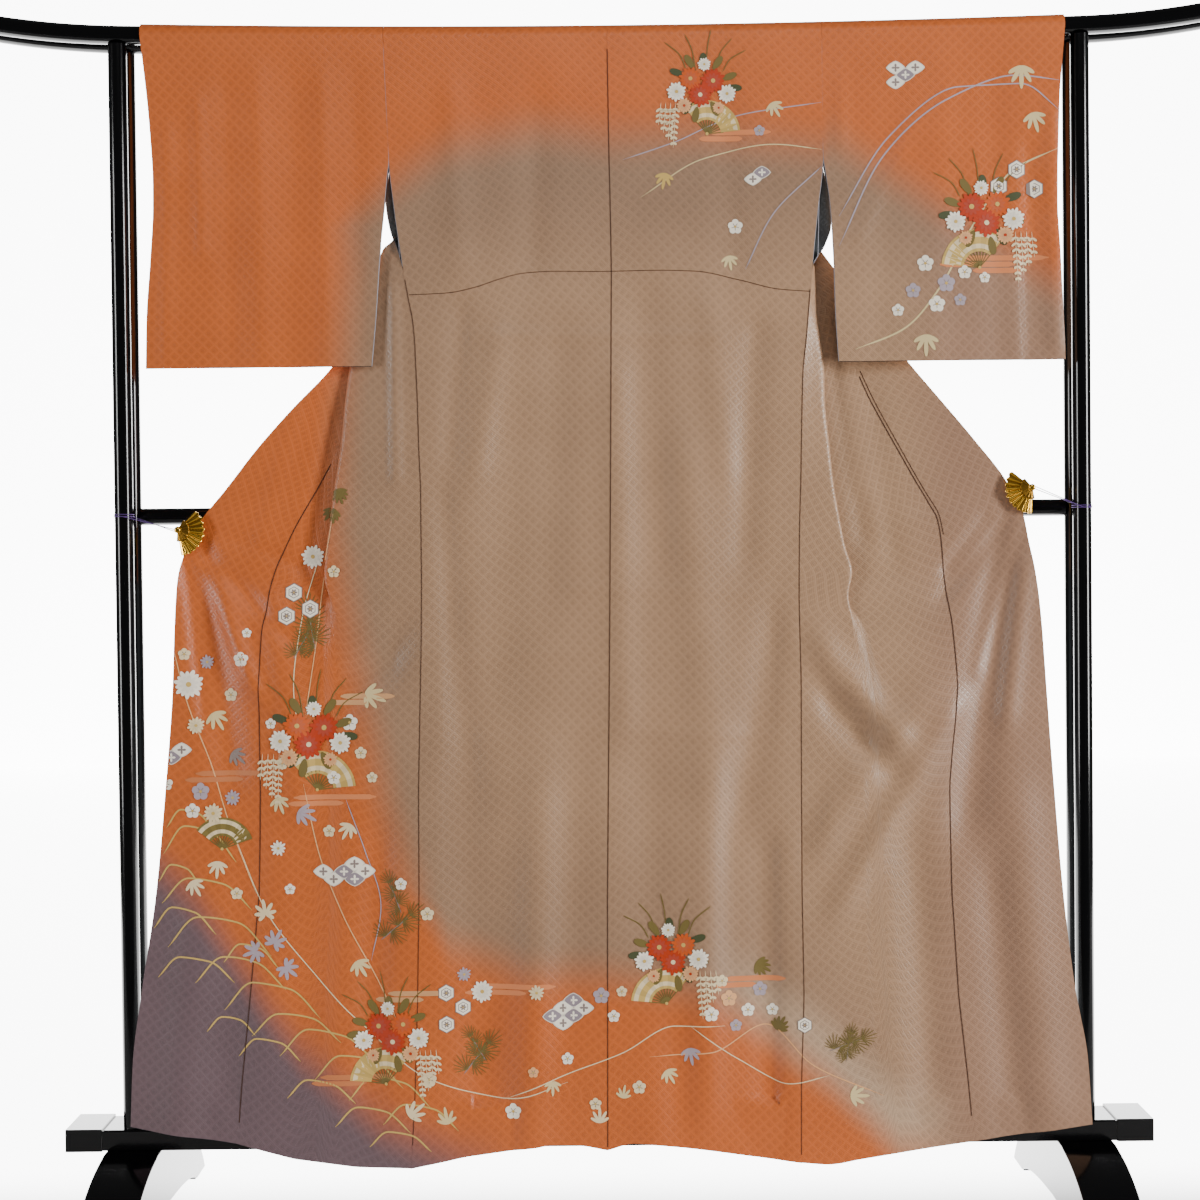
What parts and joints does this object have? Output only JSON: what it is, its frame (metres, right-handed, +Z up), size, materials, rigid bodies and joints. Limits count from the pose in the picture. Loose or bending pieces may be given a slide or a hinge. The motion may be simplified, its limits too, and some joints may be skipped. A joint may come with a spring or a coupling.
{
  "type": "silk kimono on a double-bar display stand",
  "caption": "Lined silk visiting kimono hung back outward on a glossy black double-bar stand, its fronts drawn out by gold fan clips.",
  "frame": {"origin": "centre of the stand's footprint, on the floor", "axes": "+X to the wearer's right along the bars, +Y away from the kimono's back, +Z up"},
  "size_m": [1.9058, 0.57, 1.7952],
  "materials": {
    "silk": "satin",
    "lacquer": "high gloss",
    "rubber": "matte",
    "gilt": "polished",
    "thread": "matte"
  },
  "bodies": {
    "root": {"body_left": "silk", "body_right": "silk", "okumi_left": "silk", "okumi_right": "silk", "sleeve_left": "silk", "sleeve_right": "silk", "collar": "silk", "bar_front": "lacquer", "bar_rear": "lacquer", "post_front_left": "lacquer", "post_front_right": "lacquer", "post_rear_left": "lacquer", "post_rear_right": "lacquer", "crossbar": "lacquer", "base_beam": "lacquer", "foot_left": "lacquer", "foot_right": "lacquer", "foot_pad_front_left": "rubber", "foot_pad_front_right": "rubber", "foot_pad_rear_left": "rubber", "foot_pad_rear_right": "rubber", "clip_fan_left": "gilt", "clip_fan_right": "gilt", "clip_jaw_left": "gilt", "clip_jaw_right": "gilt", "clip_pivot_left": "gilt", "clip_pivot_right": "gilt", "thread_left": "thread", "thread_right": "thread"}
  },
  "joints": []
}
